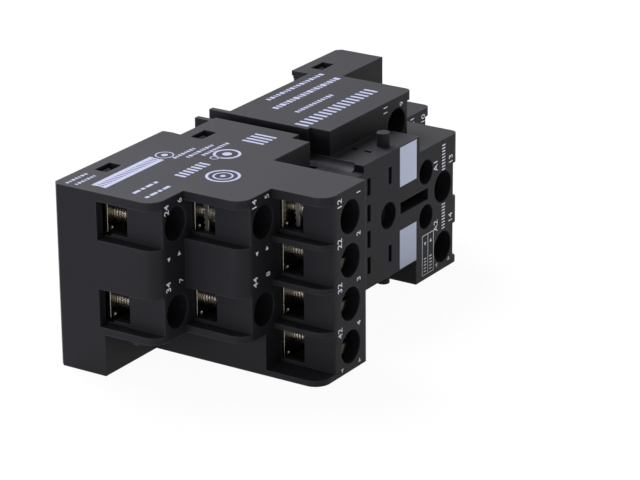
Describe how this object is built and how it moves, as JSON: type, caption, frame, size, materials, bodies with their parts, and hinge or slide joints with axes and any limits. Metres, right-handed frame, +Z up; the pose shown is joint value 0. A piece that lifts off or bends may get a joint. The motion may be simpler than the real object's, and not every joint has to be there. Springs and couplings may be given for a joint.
{
  "type": "relay socket",
  "caption": "Screw-terminal socket for a plug-in relay, with stepped rows of clamps at both ends, for a mounting rail or a panel.",
  "frame": {"origin": "middle of the side face that the socket lies on", "axes": "+X from the eight-terminal end to the coil end, -Y out of the relay side, +Y towards the rail, +Z up across the width"},
  "size_m": [0.0794, 0.0392, 0.0295],
  "materials": {
    "black_plastic": "fine matte moulding",
    "spring_steel": "drawn wire",
    "screw_steel": "nickel plated",
    "clamp_steel": "zinc plated",
    "contact_metal": "tinned"
  },
  "bodies": {
    "socket": {"housing": "black_plastic", "near_cover": "black_plastic", "far_cover": "black_plastic", "latch_spring": "spring_steel", "contact_24": "contact_metal", "contact_34": "contact_metal", "contact_14": "contact_metal", "contact_44": "contact_metal", "contact_12": "contact_metal", "contact_22": "contact_metal", "contact_32": "contact_metal", "contact_42": "contact_metal", "contact_11": "contact_metal", "contact_21": "contact_metal", "contact_31": "contact_metal", "contact_41": "contact_metal", "contact_A1": "contact_metal", "contact_A2": "contact_metal"},
    "latch": {"rail_latch": "black_plastic"},
    "clamp_24": {"clamp_plate_24": "clamp_steel"},
    "screw_24": {"terminal_screw_24": "screw_steel"},
    "clamp_34": {"clamp_plate_34": "clamp_steel"},
    "screw_34": {"terminal_screw_34": "screw_steel"},
    "clamp_14": {"clamp_plate_14": "clamp_steel"},
    "screw_14": {"terminal_screw_14": "screw_steel"},
    "clamp_44": {"clamp_plate_44": "clamp_steel"},
    "screw_44": {"terminal_screw_44": "screw_steel"},
    "clamp_12": {"clamp_plate_12": "clamp_steel"},
    "screw_12": {"terminal_screw_12": "screw_steel"},
    "clamp_22": {"clamp_plate_22": "clamp_steel"},
    "screw_22": {"terminal_screw_22": "screw_steel"},
    "clamp_32": {"clamp_plate_32": "clamp_steel"},
    "screw_32": {"terminal_screw_32": "screw_steel"},
    "clamp_42": {"clamp_plate_42": "clamp_steel"},
    "screw_42": {"terminal_screw_42": "screw_steel"},
    "clamp_11": {"clamp_plate_11": "clamp_steel"},
    "screw_11": {"terminal_screw_11": "screw_steel"},
    "clamp_21": {"clamp_plate_21": "clamp_steel"},
    "screw_21": {"terminal_screw_21": "screw_steel"},
    "clamp_31": {"clamp_plate_31": "clamp_steel"},
    "screw_31": {"terminal_screw_31": "screw_steel"},
    "clamp_41": {"clamp_plate_41": "clamp_steel"},
    "screw_41": {"terminal_screw_41": "screw_steel"},
    "clamp_A1": {"clamp_plate_A1": "clamp_steel"},
    "screw_A1": {"terminal_screw_A1": "screw_steel"},
    "clamp_A2": {"clamp_plate_A2": "clamp_steel"},
    "screw_A2": {"terminal_screw_A2": "screw_steel"}
  },
  "joints": [
    {"name": "rail_latch_pull", "type": "slide", "parent": "socket", "child": "latch", "axis": [1, 0, 0], "range_m": [0, 0.0025], "stiffness_N_per_m": 1500, "springref_m": -0.001, "deforming": ["latch_spring"]},
    {"name": "clamp_24_travel", "type": "slide", "parent": "socket", "child": "clamp_24", "axis": [0, 1, 0], "range_m": [0, 0.003]},
    {"name": "screw_24_turn", "type": "hinge", "parent": "clamp_24", "child": "screw_24", "pos_m": [-0.03445, 0.0061, 0.025], "axis": [0, 1, 0], "range_deg": [0, 2160]},
    {"name": "clamp_34_travel", "type": "slide", "parent": "socket", "child": "clamp_34", "axis": [0, 1, 0], "range_m": [0, 0.003]},
    {"name": "screw_34_turn", "type": "hinge", "parent": "clamp_34", "child": "screw_34", "pos_m": [-0.03445, 0.0061, 0.011], "axis": [0, 1, 0], "range_deg": [0, 2160]},
    {"name": "clamp_14_travel", "type": "slide", "parent": "socket", "child": "clamp_14", "axis": [0, 1, 0], "range_m": [-0.003, 0]},
    {"name": "screw_14_turn", "type": "hinge", "parent": "clamp_14", "child": "screw_14", "pos_m": [-0.02695, -0.0046, 0.025], "axis": [0, 1, 0], "range_deg": [-2160, 0]},
    {"name": "clamp_44_travel", "type": "slide", "parent": "socket", "child": "clamp_44", "axis": [0, 1, 0], "range_m": [0, 0.003]},
    {"name": "screw_44_turn", "type": "hinge", "parent": "clamp_44", "child": "screw_44", "pos_m": [-0.02695, -0.0046, 0.011], "axis": [0, 1, 0], "range_deg": [0, 2160]},
    {"name": "clamp_12_travel", "type": "slide", "parent": "socket", "child": "clamp_12", "axis": [0, 1, 0], "range_m": [-0.003, 0]},
    {"name": "screw_12_turn", "type": "hinge", "parent": "clamp_12", "child": "screw_12", "pos_m": [-0.01825, -0.0152, 0.025], "axis": [0, 1, 0], "range_deg": [-2160, 0]},
    {"name": "clamp_22_travel", "type": "slide", "parent": "socket", "child": "clamp_22", "axis": [0, 1, 0], "range_m": [0, 0.003]},
    {"name": "screw_22_turn", "type": "hinge", "parent": "clamp_22", "child": "screw_22", "pos_m": [-0.01825, -0.0152, 0.018], "axis": [0, 1, 0], "range_deg": [0, 2160]},
    {"name": "clamp_32_travel", "type": "slide", "parent": "socket", "child": "clamp_32", "axis": [0, 1, 0], "range_m": [0, 0.003]},
    {"name": "screw_32_turn", "type": "hinge", "parent": "clamp_32", "child": "screw_32", "pos_m": [-0.01825, -0.0152, 0.011], "axis": [0, 1, 0], "range_deg": [0, 2160]},
    {"name": "clamp_42_travel", "type": "slide", "parent": "socket", "child": "clamp_42", "axis": [0, 1, 0], "range_m": [0, 0.003]},
    {"name": "screw_42_turn", "type": "hinge", "parent": "clamp_42", "child": "screw_42", "pos_m": [-0.01825, -0.0152, 0.004], "axis": [0, 1, 0], "range_deg": [0, 2160]},
    {"name": "clamp_11_travel", "type": "slide", "parent": "socket", "child": "clamp_11", "axis": [0, 1, 0], "range_m": [0, 0.003]},
    {"name": "screw_11_turn", "type": "hinge", "parent": "clamp_11", "child": "screw_11", "pos_m": [0.02205, 0.0024, 0.025], "axis": [0, 1, 0], "range_deg": [0, 2160]},
    {"name": "clamp_21_travel", "type": "slide", "parent": "socket", "child": "clamp_21", "axis": [0, 1, 0], "range_m": [0, 0.003]},
    {"name": "screw_21_turn", "type": "hinge", "parent": "clamp_21", "child": "screw_21", "pos_m": [0.03455, 0.0064, 0.018], "axis": [0, 1, 0], "range_deg": [0, 2160]},
    {"name": "clamp_31_travel", "type": "slide", "parent": "socket", "child": "clamp_31", "axis": [0, 1, 0], "range_m": [0, 0.003]},
    {"name": "screw_31_turn", "type": "hinge", "parent": "clamp_31", "child": "screw_31", "pos_m": [0.03455, 0.0064, 0.011], "axis": [0, 1, 0], "range_deg": [0, 2160]},
    {"name": "clamp_41_travel", "type": "slide", "parent": "socket", "child": "clamp_41", "axis": [0, 1, 0], "range_m": [0, 0.003]},
    {"name": "screw_41_turn", "type": "hinge", "parent": "clamp_41", "child": "screw_41", "pos_m": [0.03455, 0.0064, 0.004], "axis": [0, 1, 0], "range_deg": [0, 2160]},
    {"name": "clamp_A1_travel", "type": "slide", "parent": "socket", "child": "clamp_A1", "axis": [0, 1, 0], "range_m": [0, 0.003]},
    {"name": "screw_A1_turn", "type": "hinge", "parent": "clamp_A1", "child": "screw_A1", "pos_m": [0.02545, -0.0043, 0.0145], "axis": [0, 1, 0], "range_deg": [0, 2160]},
    {"name": "clamp_A2_travel", "type": "slide", "parent": "socket", "child": "clamp_A2", "axis": [0, 1, 0], "range_m": [0, 0.003]},
    {"name": "screw_A2_turn", "type": "hinge", "parent": "clamp_A2", "child": "screw_A2", "pos_m": [0.02545, -0.0043, 0.004], "axis": [0, 1, 0], "range_deg": [0, 2160]}
  ],
  "couplings": [
    {"joint": "screw_24_turn", "follows": "clamp_24_travel", "rad_per_m": 12566},
    {"joint": "screw_34_turn", "follows": "clamp_34_travel", "rad_per_m": 12566},
    {"joint": "screw_14_turn", "follows": "clamp_14_travel", "rad_per_m": 12566},
    {"joint": "screw_44_turn", "follows": "clamp_44_travel", "rad_per_m": 12566},
    {"joint": "screw_12_turn", "follows": "clamp_12_travel", "rad_per_m": 12566},
    {"joint": "screw_22_turn", "follows": "clamp_22_travel", "rad_per_m": 12566},
    {"joint": "screw_32_turn", "follows": "clamp_32_travel", "rad_per_m": 12566},
    {"joint": "screw_42_turn", "follows": "clamp_42_travel", "rad_per_m": 12566},
    {"joint": "screw_11_turn", "follows": "clamp_11_travel", "rad_per_m": 12566},
    {"joint": "screw_21_turn", "follows": "clamp_21_travel", "rad_per_m": 12566},
    {"joint": "screw_31_turn", "follows": "clamp_31_travel", "rad_per_m": 12566},
    {"joint": "screw_41_turn", "follows": "clamp_41_travel", "rad_per_m": 12566},
    {"joint": "screw_A1_turn", "follows": "clamp_A1_travel", "rad_per_m": 12566},
    {"joint": "screw_A2_turn", "follows": "clamp_A2_travel", "rad_per_m": 12566}
  ]
}
